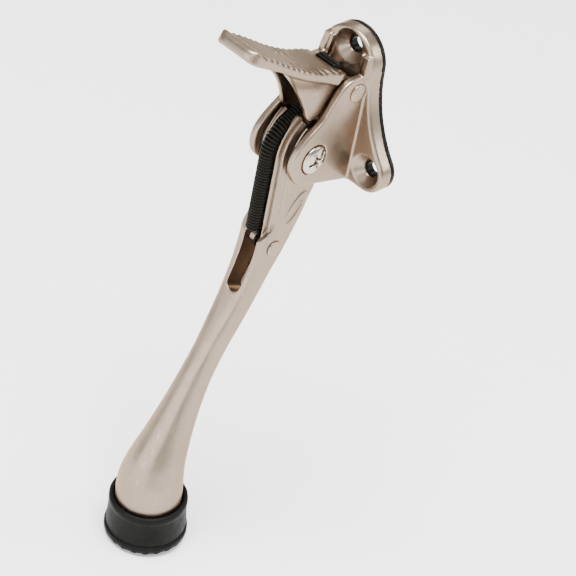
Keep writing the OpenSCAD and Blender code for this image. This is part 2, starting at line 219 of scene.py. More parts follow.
def path_distance(points, a, b):
    """Distance from an open line over a sheet of points."""
    a, b = np.broadcast_arrays(np.asarray(a, float), np.asarray(b, float))
    near = np.full(a.shape, 1e9)
    for (a0, b0), (a1, b1) in zip(points, points[1:]):
        da, db = a1 - a0, b1 - b0
        t = np.clip(((a - a0) * da + (b - b0) * db) / (da * da + db * db), 0, 1)
        near = np.minimum(near, (a - a0 - da * t) ** 2 + (b - b0 - db * t) ** 2)
    return np.sqrt(near)


def both(p, q, edge):
    """Where two fields meet, with an edge of the given radius."""
    return (np.minimum(np.maximum(p + edge, q + edge), 0)
            + np.hypot(np.maximum(p + edge, 0), np.maximum(q + edge, 0)) - edge)


def slab(along, low, high):
    """The band between two values."""
    return np.maximum(low - along, along - high)


def join(p, q, fillet):
    """Union with a fillet."""
    h = np.clip(0.5 + 0.5 * (q - p) / fillet, 0, 1)
    return q + (p - q) * h - fillet * h * (1 - h)


def cut(p, q, soft):
    """Takes q away from p, with softened edges."""
    return -join(-p, q, soft)


def smooth(low, high, value):
    """0 at low and 1 at high, with a soft start and end."""
    t = np.clip((value - low) / (high - low), 0, 1)
    return t * t * (3 - 2 * t)


# ---------------------------------------------------------------- meshes
def surface_net(field, axes):
    """Vertices and quads on the zero level of a field sampled on a grid."""
    cells = tuple(n - 1 for n in field.shape)
    total = [np.zeros(cells, np.float32) for _ in range(3)]
    count = np.zeros(cells, np.float32)
    crossings = []
    for a in range(3):
        b, c = (a + 1) % 3, (a + 2) % 3
        low = field.take(range(field.shape[a] - 1), axis=a)
        high = field.take(range(1, field.shape[a]), axis=a)
        cross = (low < 0) != (high < 0)
        part = np.where(cross, low / np.where(cross, low - high, 1), 0)
        for db in (0, 1):
            for dc in (0, 1):
                window = [slice(None)] * 3
                window[b] = slice(db, db + cells[b])
                window[c] = slice(dc, dc + cells[c])
                window = tuple(window)
                hit = cross[window]
                total[a] += part[window]
                total[b] += db * hit
                total[c] += dc * hit
                count += hit
        crossings.append((np.argwhere(cross), (low < 0)[cross]))
    used = count > 0
    ids = np.full(cells, -1, np.int64)
    ids[used] = np.arange(int(used.sum()))
    where = np.argwhere(used)
    verts = np.empty((len(where), 3))
    for a in range(3):
        place = where[:, a] + total[a][used] / count[used]
        verts[:, a] = np.interp(place, np.arange(len(axes[a])), axes[a])
    quads = []
    for a, (edge, leaving) in enumerate(crossings):
        b, c = (a + 1) % 3, (a + 2) % 3
        ok = (edge[:, b] > 0) & (edge[:, b] < cells[b]) & (edge[:, c] > 0) & (edge[:, c] < cells[c])
        edge, leaving = edge[ok], leaving[ok]
        corners = []
        for db, dc in ((-1, -1), (0, -1), (0, 0), (-1, 0)):
            at = edge.copy()
            at[:, b] += db
            at[:, c] += dc
            corners.append(ids[at[:, 0], at[:, 1], at[:, 2]])
        quad = np.stack(corners, 1)
        quads.append(np.where(leaving[:, None], quad, quad[:, ::-1]))
    return verts, np.concatenate(quads)


def build(name, verts, faces, rides, nodes, material, origin=PIVOT):
    """Makes one piece from vertices in millimetres."""
    verts = (np.asarray(verts, float) + origin) * MM
    mesh = bpy.data.meshes.new(name)
    if isinstance(faces, np.ndarray):
        mesh.vertices.add(len(verts))
        mesh.vertices.foreach_set("co", verts.ravel())
        mesh.loops.add(faces.size)
        mesh.loops.foreach_set("vertex_index", faces.ravel().astype(np.int32))
        mesh.polygons.add(len(faces))
        mesh.polygons.foreach_set("loop_start", np.arange(0, faces.size, 4, dtype=np.int32))
    else:
        mesh.from_pydata([tuple(v) for v in verts], [], faces)
    mesh.validate()
    mesh.update(calc_edges=True)
    mesh.shade_smooth()
    piece = bpy.data.objects.new(name, mesh)
    bpy.context.scene.collection.objects.link(piece)
    mesh.materials.append(material)
    if rides:
        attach(piece, rides)
    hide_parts(*nodes)
    return piece


def turned(profile, sides, wobble=None):
    """A shape turned about the third axis from (radius, height) pairs, which start and end on the axis
    or close on themselves. wobble(angle, radius, height) may move a point."""
    verts, faces, rings = [], [], []
    for radius, height in profile:
        if radius < 1e-6:
            rings.append([len(verts)])
            verts.append((0.0, 0.0, height))
            continue
        ring = []
        for k in range(sides):
            t = 2 * math.pi * k / sides
            r, h = wobble(t, radius, height) if wobble else (radius, height)
            ring.append(len(verts))
            verts.append((r * math.cos(t), r * math.sin(t), h))
        rings.append(ring)
    for low, high in zip(rings, rings[1:]):
        for k in range(sides):
            j = (k + 1) % sides
            if len(low) == 1:
                faces.append((low[0], high[j], high[k]))
            elif len(high) == 1:
                faces.append((low[k], low[j], high[0]))
            else:
                faces.append((low[k], low[j], high[j], high[k]))
    return np.array(verts), faces


def along_x(verts, centre, start, sign=1):
    """Lays a turned shape along X, from x = start, about the point (y, z)."""
    x, y, z = verts[:, 0], verts[:, 1], verts[:, 2]
    return np.stack([start + sign * z, centre[0] + sign * x, centre[1] + y], 1)


def merged(parts):
    """Joins several (vertices, faces) into one."""
    verts, faces, base = [], [], 0
    for v, f in parts:
        verts.append(v)
        faces += [tuple(i + base for i in face) for face in f]
        base += len(v)
    return np.concatenate(verts), faces


def wire(path, radius):
    """A round wire with closed ends, swept along a path without twisting."""
    sides = 8
    tangent = np.gradient(path, axis=0)
    tangent /= np.linalg.norm(tangent, axis=1)[:, None]
    normal = np.cross(tangent[0], (1.0, 0.3, 0.2))
    normal /= np.linalg.norm(normal)
    rings = []
    for p, t in zip(path, tangent):
        normal = normal - t * normal.dot(t)
        normal /= np.linalg.norm(normal)
        side = np.cross(t, normal)
        turn = np.linspace(0, 2 * math.pi, sides, endpoint=False)
        rings.append(p + radius * (np.cos(turn)[:, None] * normal + np.sin(turn)[:, None] * side))
    verts = np.concatenate(rings)
    faces = []
    last = len(path) - 1
    for i in range(last):
        low, high = i * sides, (i + 1) * sides
        faces += [(low + k, low + (k + 1) % sides, high + (k + 1) % sides, high + k) for k in range(sides)]
    faces.append(tuple(range(sides - 1, -1, -1)))
    faces.append(tuple(last * sides + k for k in range(sides)))
    return verts, faces


def axis_steps(low, high, step):
    """Grid lines from low to high, as near to the step as fits."""
    return np.linspace(low, high, int(round((high - low) / step)) + 1)


# ---------------------------------------------------------------- materials
def new_material(name):
    """A node material, with what the others need to build on it."""
    material = bpy.data.materials.new(name)
    material.use_nodes = True
    nodes, links = material.node_tree.nodes, material.node_tree.links
    shader = nodes["Principled BSDF"]
    place = nodes.new("ShaderNodeTexCoord").outputs["Object"]
    return material, nodes, links, shader, place


def noise(nodes, links, place, scale, detail):
    """Noise over the object, scale in features per millimetre."""
    texture = nodes.new("ShaderNodeTexNoise")
    texture.inputs["Scale"].default_value = scale / MM
    texture.inputs["Detail"].default_value = detail
    links.new(place, texture.inputs["Vector"])
    return texture.outputs["Fac"]


def ramp(nodes, links, value, stops):
    """Maps a value to colours; stops are (position, colour)."""
    node = nodes.new("ShaderNodeValToRGB")
    while len(node.color_ramp.elements) < len(stops):
        node.color_ramp.elements.new(0.5)
    for element, (position, colour) in zip(node.color_ramp.elements, stops):
        element.position = position
        element.color = (*colour, 1.0)
    links.new(value, node.inputs["Fac"])
    return node.outputs["Color"]


def mapped(nodes, links, value, span, to):
    """Maps a value from one span to another, and holds it at the ends."""
    node = nodes.new("ShaderNodeMapRange")
    for key, number in zip(("From Min", "From Max", "To Min", "To Max"), (*span, *to)):
        node.inputs[key].default_value = number
    links.new(value, node.inputs["Value"])
    return node.outputs["Result"]


def mixed(nodes, links, factor, first, second, how="MIX"):
    """Mixes two colours; each may be a colour or a socket, and the factor a number or a socket."""
    node = nodes.new("ShaderNodeMix")
    node.data_type = "RGBA"
    node.blend_type = how
    for socket, value in (("Factor", factor), ("A", first), ("B", second)):
        target = next(i for i in node.inputs if i.name == socket
                      and i.type == ("VALUE" if socket == "Factor" else "RGBA"))
        if isinstance(value, (int, float)):
            target.default_value = value
        elif isinstance(value, tuple):
            target.default_value = (*value, 1.0)
        else:
            links.new(value, target)
    return next(o for o in node.outputs if o.type == "RGBA")


def bumped(nodes, links, shader, heights):
    """Chains bumps onto the shader; heights are (value, strength, depth in millimetres)."""
    normal = None
    for value, strength, depth in heights:
        node = nodes.new("ShaderNodeBump")
        node.inputs["Strength"].default_value = strength
        node.inputs["Distance"].default_value = depth * MM
        links.new(value, node.inputs["Height"])
        if normal:
            links.new(normal, node.inputs["Normal"])
        normal = node.outputs["Normal"]
    links.new(normal, shader.inputs["Normal"])


# Spans of pointiness where edges get a painted highlight and corners get painted shade, and of the middle of
# a noise
EDGE_HIGHLIGHT_SPAN = (0.515, 0.60)
RUBBER_EDGE_HIGHLIGHT_SPAN = (0.51, 0.60)
CORNER = (0.40, 0.485)
NOISE_SPAN = (0.3, 0.7)
NICKEL = (0.262, 0.203, 0.157)
STEEL = (0.46, 0.41, 0.36)
BLACKENED = (0.005, 0.0048, 0.0038)
GLANCE_TINT = (0.85, 0.72, 0.6)               # keeps the nickel warm where it is seen at a low angle


def shade(colour, factor):
    """A lighter or darker colour."""
    return tuple(min(1.0, c * factor) for c in colour)


def metal(name, colour, roughness, grain, edge_highlight=0.35, metallic=1.0):
    """Plated metal: clouding of the colour, a painted highlight on its edges, painted shade in corners and a
    fine grain.
    """
    material, nodes, links, shader, place = new_material(name)
    clouds = ramp(nodes, links, noise(nodes, links, place, scale=0.09, detail=5.0),
                  [(0.3, shade(colour, 0.93)), (0.7, shade(colour, 1.05))])
    speckle = ramp(nodes, links, noise(nodes, links, place, scale=2.2, detail=2.0),
                   [(0.35, shade((1, 1, 1), 0.88)), (0.65, (1, 1, 1))])
    base = mixed(nodes, links, 1.0, clouds, speckle, "MULTIPLY")
    point = nodes.new("ShaderNodeNewGeometry").outputs["Pointiness"]
    # painted highlight: convex edges are lightened towards a paler nickel
    edge = mapped(nodes, links, point, EDGE_HIGHLIGHT_SPAN, (0.0, edge_highlight))
    # painted shade: creases and corners are darkened towards a dark nickel
    corner_shade = mapped(nodes, links, point, CORNER, (0.75, 0.0))
    base = mixed(nodes, links, edge, base, shade(colour, 1.8))
    base = mixed(nodes, links, corner_shade, base, shade(colour, 0.4))
    links.new(base, shader.inputs["Base Color"])
    rough = noise(nodes, links, place, scale=0.35, detail=4.0)
    links.new(mapped(nodes, links, rough, NOISE_SPAN, (roughness * 0.85, roughness * 1.15)),
              shader.inputs["Roughness"])
    shader.inputs["Metallic"].default_value = metallic
    shader.inputs["Specular Tint"].default_value = (*GLANCE_TINT, 1)
    bumped(nodes, links, shader, [(noise(nodes, links, place, scale=3.0, detail=2.0), grain, 0.02),
                                  (noise(nodes, links, place, scale=0.25, detail=2.0), 0.25, 0.05)])
    return material


def rubber(name, colour, roughness, grain, gloss):
    """Moulded rubber: dusty patches, a painted highlight on its edges and a fine pebble."""
    material, nodes, links, shader, place = new_material(name)
    dust = ramp(nodes, links, noise(nodes, links, place, scale=0.15, detail=6.0),
                [(0.35, shade(colour, 0.8)), (0.75, shade(colour, 1.3))])
    point = nodes.new("ShaderNodeNewGeometry").outputs["Pointiness"]
    # painted highlight: convex edges are lightened
    edge = mapped(nodes, links, point, RUBBER_EDGE_HIGHLIGHT_SPAN, (0.0, 0.6))
    links.new(mixed(nodes, links, edge, dust, shade(colour, 1.6)), shader.inputs["Base Color"])
    rough = noise(nodes, links, place, scale=0.5, detail=4.0)
    links.new(mapped(nodes, links, rough, NOISE_SPAN, (roughness - 0.06, roughness + 0.08)),
              shader.inputs["Roughness"])
    shader.inputs["Specular IOR Level"].default_value = gloss
    bumped(nodes, links, shader, [(noise(nodes, links, place, scale=2.5, detail=3.0), grain, 0.04)])
    return material


cast_nickel = metal("cast satin nickel", NICKEL, roughness=0.33, grain=0.38)
pin_nickel = metal("pin satin nickel", shade(NICKEL, 1.04), roughness=0.32, grain=0.2, edge_highlight=0.5)
bright_steel = metal("bright plated steel", STEEL, roughness=0.12, grain=0.05, edge_highlight=0.3)
spring_steel = metal("blackened spring wire", BLACKENED, roughness=0.45, grain=0.2, edge_highlight=0.2, metallic=0.0)
spring_steel.node_tree.nodes["Principled BSDF"].inputs["Specular IOR Level"].default_value = 0.08
foot_rubber = rubber("foot rubber", (0.004, 0.004, 0.0037), roughness=0.48, grain=0.5, gloss=0.05)
black_rubber = rubber("gasket rubber", (0.0025, 0.0025, 0.002), roughness=0.38, grain=0.3, gloss=0.08)
washer_black = rubber("washer nylon", (0.05, 0.047, 0.042), roughness=0.5, grain=0.2, gloss=0.15)


# ---------------------------------------------------------------- bracket
def bracket_casting():
    """The plate with its three countersunk holes, the two ears and the ridges above them."""
    # the grid is finer round the ears and their ridges
    half = np.concatenate([axis_steps(0.15, 5.25, STEP), axis_steps(5.45, 10.25, FINE_STEP),
                           axis_steps(10.5, 23.4, STEP)])
    heights = np.concatenate([axis_steps(-7.6, 29.0, STEP), axis_steps(29.2, 38.0, FINE_STEP),
                              axis_steps(38.3, 42.8, STEP)])
    axes = [np.concatenate([-half[::-1], half]), axis_steps(-32.6, -1.0, STEP), heights]
    x, y, z = np.meshgrid(*axes, indexing="ij", sparse=True)
    side = np.abs(x)
    ly, lz = y - PIVOT[1], z - PIVOT[2]
    outline = outline_distance(plate_outline(), axes[0][:, None], axes[2][None, :])[:, None, :]
    plate_edge, ear_edge, ear_fillet = 1.1, 0.75, 1.0
    plate = both(outline, PLATE_FRONT - y, plate_edge)
    plate = np.maximum(plate, y + GASKET_T)
    ear_side = outline_distance(ear_outline(), ly[0], lz[0])[None]
    ear = both(ear_side, slab(side, EAR_IN, EAR_OUT), ear_edge)
    # above each ear a ridge on the plate that leans inward and gets lower, with a finger along its inside
    ridge_foot, ridge_top, ridge_edge, ridge_fillet = 30.2, 36.8, 0.5, 0.6
    finger_in, finger_out, finger_edge, finger_fillet = 5.8, 6.7, 0.3, 0.8
    proud_at_foot, lower_by, leans_by, finger_share = 2.1, 0.9, 0.09, 0.8
    proud = proud_at_foot - lower_by * smooth(31, ridge_top, z)
    bowed = side - leans_by * (ridge_top - z)
    ridge = both(both(z - ridge_top, PLATE_FRONT - proud - y, ridge_edge),
                 slab(bowed, EAR_IN, EAR_OUT), ridge_edge)
    finger = both(both(z - ridge_top, PLATE_FRONT - finger_share * proud - y, finger_edge),
                  slab(bowed, finger_in, finger_out), finger_edge)
    ridges = np.maximum(join(ridge, finger, finger_fillet),
                        np.maximum(ridge_foot - z, y - (PLATE_FRONT + 1)))
    field = join(plate, ear, ear_fillet)
    field = join(field, ridges, ridge_fillet)
    cone_edge = 0.45
    for hx, hz in SCREW_HOLES:
        reach = np.hypot(side - hx, z - hz)
        cone = (reach - COUNTERSINK_R + np.maximum(y - PLATE_FRONT, 0)) * math.sqrt(0.5)
        field = cut(field, cone, cone_edge)
        field = cut(field, reach - HOLE_R, DRILLED)
    # the pivot's hole with a shallow seat round the screw's head, and the pedal pin's hole
    seat_gap, seat_depth = 0.3, 0.6
    pivot_reach = np.hypot(ly, lz)
    field = cut(field, pivot_reach - BARREL_R - PLAY, CRISP)
    seat = np.maximum(pivot_reach - HEAD_R - seat_gap, EAR_OUT - seat_depth - side)
    field = cut(field, seat, DRILLED)
    field = cut(field, np.hypot(ly - PEDAL_PIN[0], lz - PEDAL_PIN[1]) - PEDAL_PIN_R - PLAY, CRISP)
    verts, quads = surface_net(field, axes)
    build("bracket_casting", verts, quads, "bracket", ["base_bracket"], cast_nickel, 0)


def gasket_sheet():
    """The rubber sheet behind the plate, with a short collar in each screw hole."""
    axes = [axis_steps(-23.4, 23.4, STEP), axis_steps(-3.3, 0.4, FINE_STEP), axis_steps(-7.6, 42.8, STEP)]
    x, y, z = np.meshgrid(*axes, indexing="ij", sparse=True)
    outline = outline_distance(plate_outline(), axes[0][:, None], axes[2][None, :])[:, None, :]
    field = both(outline, slab(y, -GASKET_T + 0.01, 0), MOULDED)
    collar_len, collar_wall = 1.3, 0.45
    for hx, hz in SCREW_HOLES:
        reach = np.hypot(np.abs(x) - hx, z - hz)
        collar = both(reach - HOLE_R + 0.03, slab(y, -GASKET_T - collar_len, -0.5), CRISP)
        field = np.minimum(field, collar)
        field = cut(field, reach - HOLE_R + collar_wall, DRILLED)
    verts, quads = surface_net(field, axes)
    build("gasket_sheet", verts, quads, "bracket", ["mounting_gasket"], black_rubber, 0)


# ---------------------------------------------------------------- pins and fasteners
def pivot_screw():
    """A pan head with a cross recess, and its shank inside the barrel nut."""
    axes = [axis_steps(-0.8, 1.9, 0.09), axis_steps(-5.1, 5.1, 0.085), axis_steps(-5.1, 5.1, 0.085)]
    x, y, z = np.meshgrid(*axes, indexing="ij", sparse=True)
    reach = np.hypot(y, z)
    rise, top, rim_edge = 1.1, HEAD_TOP, 0.3
    dome_r = (HEAD_R**2 + rise**2) / (2 * rise)
    dome = np.hypot(np.hypot(x - top + dome_r, y), z) - dome_r
    head = both(both(dome, reach - HEAD_R, rim_edge), HEAD_FOOT - x, CRISP)
    # the recess: a tapered cross and a round well where its arms meet
    turn = math.radians(20)
    cross_len, cross_half_w, cross_floor = 3.3, 0.62, -0.2
    well_r, well_floor = 1.5, -0.4
    a, b = y * math.cos(turn) + z * math.sin(turn), z * math.cos(turn) - y * math.sin(turn)
    depth = top - x
    for p, q in ((np.abs(a), np.abs(b)), (np.abs(b), np.abs(a))):
        groove = np.maximum(p - cross_len + 0.8 * depth, q - cross_half_w + 0.1 * depth)
        head = cut(head, np.maximum(groove, cross_floor - x), CRISP)
    head = cut(head, np.maximum(reach - well_r + 0.4 * depth, well_floor - x), DRILLED)
    verts, quads = surface_net(head, axes)
    verts[:, 0] += EAR_OUT
    shank_len, overlap = 10.2, 0.2
    shank = turned([(0, 0), (2.2, 0), (2.45, 0.3), (2.45, shank_len), (0, shank_len)], 40)
    shank = (along_x(shank[0], (0, 0), EAR_OUT + overlap - shank_len), shank[1])
    verts, faces = merged([(verts, [tuple(q) for q in quads.tolist()]), shank])
    build("pivot_screw_head", verts, faces, "bracket", ["pivot_screw"], bright_steel)


def barrel_nut():
    """A low slotted head and its tube, which the arm turns on."""
    axes = [axis_steps(-0.8, 1.9, 0.1), axis_steps(-5.0, 5.0, 0.1), axis_steps(-5.0, 5.0, 0.1)]
    x, y, z = np.meshgrid(*axes, indexing="ij", sparse=True)
    rim_edge, slot_half_w, slot_floor, slot_edge = 0.5, 0.6, 0.6, 0.12
    field = both(slab(x, HEAD_FOOT, HEAD_TOP), np.hypot(y, z) - HEAD_R, rim_edge)
    field = cut(field, np.maximum(np.abs(z) - slot_half_w, slot_floor - x), slot_edge)
    verts, quads = surface_net(field, axes)
    verts[:, 0] = -EAR_OUT - verts[:, 0]
    quads = quads[:, ::-1]
    tube = turned([(2.52, 0), (2.95, 0), (3.0, 0.1), (3.0, 18.3), (2.9, 18.4), (2.52, 18.4), (2.52, 0)], 48)
    tube = (along_x(tube[0], (0, 0), -EAR_OUT - 0.2), tube[1])
    verts, faces = merged([(verts, [tuple(q) for q in quads.tolist()]), tube])
    build("barrel_nut", verts, faces, "bracket", ["pivot_barrel_nut"], bright_steel)


def washers():
    """A flat washer between the arm and each ear."""
    ring = [(3.1, 0.1), (3.2, 0), (6.0, 0), (6.2, 0.15), (6.2, 0.85), (6.0, 1.0), (3.2, 1.0), (3.1, 0.9),
            (3.1, 0.1)]
    verts, faces = turned(ring, 64)
    pair = [(along_x(verts, (0, 0), s * (ARM_HALF_W + PLAY), s), faces) for s in (-1, 1)]
    verts, faces = merged(pair)
    build("friction_washer_pair", verts, faces, "bracket", ["friction_washers"],
          washer_black)


def rivet(name, centre, half_len, head_r, head_h, pin_r, rides, nodes):
    """A pin across the hinge with a low, slightly domed head at each end."""
    low = [(0, -half_len - head_h)]
    low += [(head_r * f, -half_len - head_h + 0.12 * head_h * f**2) for f in (0.3, 0.6, 0.85)]
    low += [(head_r * 0.97, -half_len - head_h * 0.72), (head_r, -half_len - head_h * 0.4),
            (head_r, -half_len + 0.15), (pin_r, -half_len + 0.15)]
    profile = low + [(r, -h) for r, h in reversed(low)]
    verts, faces = turned(profile, 56)
    build(name, along_x(verts, centre, 0), faces, rides, nodes, pin_nickel)


# ---------------------------------------------------------------- arm
# Down the arm: y and z of the middle, half width, half depth, squareness
ARM_STATIONS = np.array([
    [0.4, -6, 5.8, 8.7, 6], [-0.1, -13, 5.8, 8.7, 6], [-1.4, -20, 5.8, 8.0, 6],
    [-3.4, -27.5, 5.9, 7.0, 5.5], [-5.6, -35.5, 5.9, 5.4, 5.2], [-8.4, -43.5, 5.55, 4.55, 4.3],
    [-12.4, -54, 5.1, 4.4, 3.5], [-16.4, -63, 4.7, 4.55, 3.0], [-20.1, -71, 4.5, 4.5, 2.65],
    [-24.3, -80, 4.85, 4.85, 2.4], [-28.3, -90, 5.8, 5.8, 2.25], [-32.2, -100.5, 7.35, 7.35, 2.12],
    [-35.1, -109, 9.1, 9.1, 2], [-36.3, -116, 10.4, 10.4, 2], [-36.2, -122.5, 10.85, 10.85, 2],
    [-36, -127, 10.7, 10.7, 2], [-35.7, -134.5, 10.6, 10.6, 2]])


def arm_along(z):
    """Middle y, half width, half depth on a level cut, and squareness of the arm at heights z."""
    rings = through(ARM_STATIONS, 12)
    slope = np.gradient(rings[:, 0], rings[:, 1])
    rings[:, 3] *= np.hypot(1, slope)
    rings = rings[::-1]
    return [np.interp(z, rings[:, 1], rings[:, k]) for k in (0, 2, 3, 4)]


def spring_path():
    """The lift spring's middle line in (y, z): up the arm's front, over its head, to the pedal pin."""
    top = (SPRING_ARC_R * math.cos(math.radians(SPRING_TOP_DEG)),
           SPRING_ARC_R * math.sin(math.radians(SPRING_TOP_DEG)))
    over = arc((0, 0), SPRING_ARC_R, 180, SPRING_TOP_DEG, 24)
    reach = math.hypot(PEDAL_PIN[0] - top[0], PEDAL_PIN[1] - top[1])
    toward = ((PEDAL_PIN[0] - top[0]) / reach, (PEDAL_PIN[1] - top[1]) / reach)
    return [(-SPRING_ARC_R, SPRING_FOOT_Z)] + over, top, toward


BADGE = dict(middle=(0.3, -20.2), lean=math.radians(33), half_len=5.9, half_wide=2.1, line=0.2, soft=0.3,
             proud=0.42, from_x=5)

# The rails in section: distance from the arm's middle, and depth below the lip
RAIL_DROP = 3.6                               # from the lip to the arm's side
RAIL_SECTION = through([(0, 0.2), (2.9, 0.2), (3.2, 0.1), (3.5, -0.8), (3.8, -1.45), (4.1, -1.4),
                        (4.35, -0.95), (4.5, -0.9), (4.65, -1.1), (5.0, -2.1), (5.4, -2.9),
                        (5.9, -RAIL_DROP), (12, -RAIL_DROP)], 6)


def arm_casting():
    """The arm: a shank that swells into the bulb, and a head with two rails and a channel."""
    # the grid is fine down to below the slot, and finest across the rails
    fine, coarse, split = 0.35, 0.9, -54.6
    heights = np.concatenate([axis_steps(-134.6, split, coarse)[:-1], axis_steps(split, 12.8, fine)])
    half = np.concatenate([axis_steps(0.2, 2.2, 0.4), axis_steps(2.38, 6.16, 0.18),
                           axis_steps(6.5, 11.4, fine)])
    axes = [np.concatenate([-half[::-1], half]), axis_steps(-14.4, 14.4, fine), heights]
    middle, half_w, half_d, square = arm_along(heights)
    upper = heights > ARM_STATIONS[0, 1]
    middle[upper] = middle[~upper][-1]
    x = axes[0][:, None, None]
    side = np.abs(x)
    off = axes[1][:, None]
    z = np.broadcast_to(heights[None, :], (len(axes[1]), len(heights)))
    y = off + middle[None, :]
    # the shank, a squared-off oval that turns into a round bulb
    ex = side / half_w
    ey = (np.abs(off) / half_d)[None]
    size = np.maximum((ex**square + ey**square) ** (1 / square), 1e-6)
    steep = np.hypot((ex / size) ** (square - 1) / half_w, (ey / size) ** (square - 1) / half_d)
    shank = (size - 1) / steep
    shank_top, shank_end = -7.5, -134.0
    shank = np.maximum(shank, np.maximum(z - shank_top, shank_end - z)[None])
    # a lower front above the rails' end, which steps down along a slant on both sides
    ledge_z, ledge_slope, ledge_edge, ledge_lap = -30.6, 0.59, 0.2, 0.6
    facet, facet_y, back_y = 1.2, -9.0, -5.4      # its climb per millimetre of depth, and how deep it goes
    ledge = ledge_slope * np.minimum(side, ARM_HALF_W) + ledge_z
    above = (ledge - z[None] + facet * (y[None] - facet_y)) / math.hypot(1, facet)
    shank = cut(shank, np.maximum(above, y[None] - back_y), ledge_edge)
    # the head and rails
    outline = outline_distance(head_outline(), y, z)[None]
    level = np.interp(np.abs(axes[0]), RAIL_SECTION[:, 0], RAIL_SECTION[:, 1])[:, None, None]
    slope = np.abs(np.gradient(level, axes[0], axis=0))
    # the section gets shallower towards the rails' lower end, and fades out round the back of the head
    level = np.maximum(level, 1.7 * smooth(-18, -27, z)[None] - RAIL_DROP)
    fade = 1 - smooth(1.0, 6.0, y)[None]
    rails = np.maximum((outline - level * fade) / np.hypot(1, slope * fade), side - ARM_HALF_W)
    rails = np.maximum(rails, ledge - z[None] - ledge_lap)
    field = join(shank, rails, CAST)
    # the channel for the spring and the slot for its lower end
    line, top, toward = spring_path()
    beyond = 14.0
    line = ([(-SPRING_ARC_R, SPRING_FOOT_Z - 2)] + line[1:]
            + [(top[0] + beyond * toward[0], top[1] + beyond * toward[1])])
    channel = np.hypot(side, path_distance(line, y, z)[None]) - CHANNEL_R
    field = cut(field, channel, CAST)
    floor_at, lean, slot_r, slot_low, slot_high = (-2.0, -37.0), math.radians(24), 2.7, -14.2, 8.0
    floor_edge, mouth_edge = 0.3, 0.45
    ly, lz = y - floor_at[0], z - floor_at[1]
    up = lz * math.cos(lean) + ly * math.sin(lean)
    out = ly * math.cos(lean) - lz * math.sin(lean)
    stadium = np.hypot(side, np.maximum(slab(up, slot_low, slot_high), 0)[None]) - slot_r
    field = cut(field, both(stadium, out[None], floor_edge), mouth_edge)
    # room on both sides for the pedal's web tips when the tread is pressed
    py, pz = y - PEDAL_PIN[0], z - PEDAL_PIN[1]
    turn = math.pi - TREAD_SLOPE + PEDAL_TURN
    pocket = outline_distance(web_profile(), py * math.cos(turn) + pz * math.sin(turn),
                              py * math.sin(turn) - pz * math.cos(turn))
    room, pocket_foot, pocket_in = 0.3, 7.0, 4.25
    pocket = np.maximum(pocket - room, pocket_foot - z)[None] + np.maximum(pocket_in - side, 0)
    field = cut(field, pocket, DRILLED)
    for centre, radius in (((0, 0), BARREL_R + PLAY), (LOWER_PIN, LOWER_PIN_R + 0.02)):
        field = cut(field, (np.hypot(y - centre[0], z - centre[1]) - radius)[None], CRISP)
    # a plain oval badge on the side
    by, bz = y - BADGE["middle"][0], z - BADGE["middle"][1]
    along = bz * math.cos(BADGE["lean"]) + by * math.sin(BADGE["lean"])
    across = by * math.cos(BADGE["lean"]) - bz * math.sin(BADGE["lean"])
    ratio = np.maximum(np.hypot(along / BADGE["half_len"], across / BADGE["half_wide"]), 1e-6)
    ring = (ratio - 1) * ratio / np.hypot(along / BADGE["half_len"]**2, across / BADGE["half_wide"]**2)
    raised = 1 - smooth(BADGE["line"], BADGE["line"] + BADGE["soft"], np.abs(ring))
    field = field - BADGE["proud"] * raised[None] * (x > BADGE["from_x"])
    verts, quads = surface_net(field.astype(np.float32), axes)
    verts[:, 1] += np.interp(verts[:, 2], heights, middle)
    build("arm_casting", verts, quads, "arm", ["swing_arm"], cast_nickel)


def foot_cup():
    """The rubber cup, with a scalloped sole and a lip round its rim."""
    lobes, lip_r, sides = 22, 13.6, 176

    def scallop(angle, radius, height):
        if height > 0.9 or radius < 9:
            return radius, height
        wave = abs(math.sin(angle * lobes / 2))
        return radius - 0.35 * (1 - wave), height + 0.7 * (1 - wave) * (radius / lip_r) ** 4

    outside = [(0, 0.5), (7, 0.5), (9.5, 0.4), (10.5, 0.0), (12.2, 0.0), (13.1, 0.15), (13.5, 0.6),
               (lip_r, 1.1), (lip_r, 2.4), (13.5, 2.8), (13.2, 3.0), (12.9, 3.1), (12.85, 3.3),
               (13.0, 3.5), (13.1, 3.9), (13.08, 4.6), (12.95, 7), (12.8, 9.5), (12.68, 12.4), (12.7, 12.8),
               (12.82, 13.0), (12.84, 13.5), (12.8, 14.6), (12.55, 15.1), (12.1, 15.35), (11.7, 15.35),
               (11.35, 15.1), (11.2, 14.7), (11.1, 13.6), (10.95, 4.4), (10.5, 4.2), (0, 4.2)]
    verts, faces = turned(outside, sides, scallop)
    c, s = math.cos(FOOT_TILT), math.sin(FOOT_TILT)
    y = verts[:, 1] * c - verts[:, 2] * s + FOOT_SOLE[0]
    z = verts[:, 1] * s + verts[:, 2] * c + FOOT_SOLE[1]
    verts = np.stack([verts[:, 0], y, z], 1)
    build("foot_cup", verts, faces, "arm", ["rubber_foot"], foot_rubber)


# ---------------------------------------------------------------- pedal
def from_pedal(verts):
    """Turns (x, u, n) of the pedal into millimetres from the arm's pivot."""
    c, s = math.cos(TREAD_SLOPE), math.sin(TREAD_SLOPE)
    x, u, n = verts[:, 0], verts[:, 1], verts[:, 2]
    return np.stack([x, PEDAL_PIN[0] - c * u + s * n, PEDAL_PIN[1] + s * u + c * n], 1)


